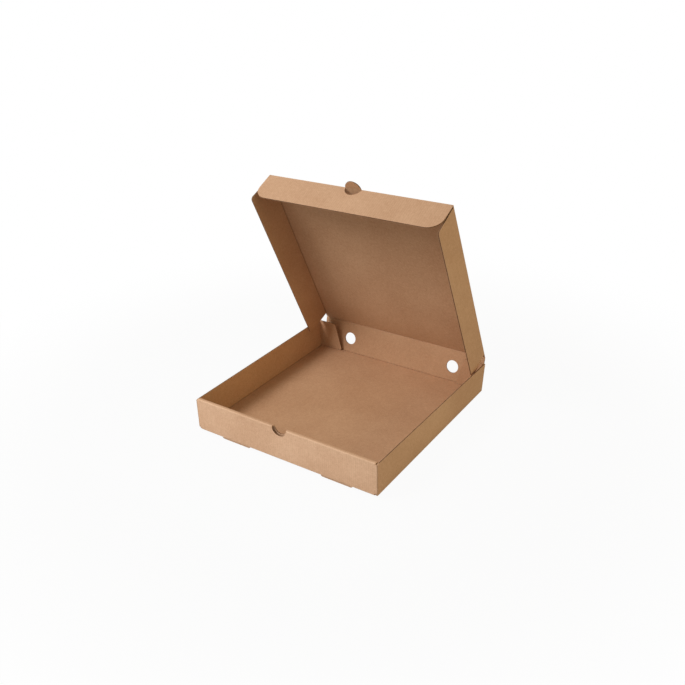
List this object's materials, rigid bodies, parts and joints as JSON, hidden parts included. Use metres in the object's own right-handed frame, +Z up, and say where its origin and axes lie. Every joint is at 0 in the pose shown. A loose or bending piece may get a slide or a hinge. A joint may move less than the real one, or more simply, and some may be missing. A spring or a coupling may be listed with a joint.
{
  "type": "pizza box",
  "caption": "Plain corrugated pizza box folded from one sheet: square tray with rolled-over front wall, raised lid with tuck flaps, thumb tab and rear vent holes.",
  "frame": {"origin": "centre of the underside of the tray's floor", "axes": "+Z up; -Y towards the front wall with the thumb notch; +Y towards the rear wall that carries the lid; +X to the right when facing the front wall"},
  "size_m": [0.306, 0.3217, 0.3422],
  "materials": {
    "tray": "uncoated brown kraft",
    "rear_wall": "uncoated brown kraft",
    "lid": "uncoated brown kraft",
    "lid_front_flap": "uncoated brown kraft",
    "lid_left_side": "uncoated brown kraft",
    "lid_right_side": "uncoated brown kraft"
  },
  "bodies": {
    "tray": {"tray": "tray"},
    "rear_wall": {"rear_wall": "rear_wall"},
    "lid": {"lid": "lid"},
    "lid_front_flap": {"lid_front_flap": "lid_front_flap"},
    "lid_left_side": {"lid_left_side": "lid_left_side"},
    "lid_right_side": {"lid_right_side": "lid_right_side"}
  },
  "joints": [
    {"name": "rear_wall_fold", "type": "hinge", "parent": "tray", "child": "rear_wall", "pos_m": [0, 0.155, 0], "axis": [-1, 0, 0], "range_deg": [-10.01, 17.83]},
    {"name": "lid_fold", "type": "hinge", "parent": "rear_wall", "child": "lid", "pos_m": [0, 0.16674, 0.05086], "axis": [-1, 0, 0], "range_deg": [-54.7, 97.4]},
    {"name": "front_flap_fold", "type": "hinge", "parent": "lid", "child": "lid_front_flap", "pos_m": [0, 0.03674, 0.32588], "axis": [-1, 0, 0], "range_deg": [0, 90]},
    {"name": "left_side_fold", "type": "hinge", "parent": "lid", "child": "lid_left_side", "pos_m": [-0.1444, 0.16521, 0.05014], "axis": [0, -0.4274, 0.9041], "range_deg": [0, 92]},
    {"name": "right_side_fold", "type": "hinge", "parent": "lid", "child": "lid_right_side", "pos_m": [0.1444, 0.16521, 0.05014], "axis": [0, 0.4274, -0.9041], "range_deg": [0, 92]}
  ],
  "couplings": [
    {"joint": "rear_wall_fold", "follows": "lid_fold", "ratio": 0.18282}
  ]
}
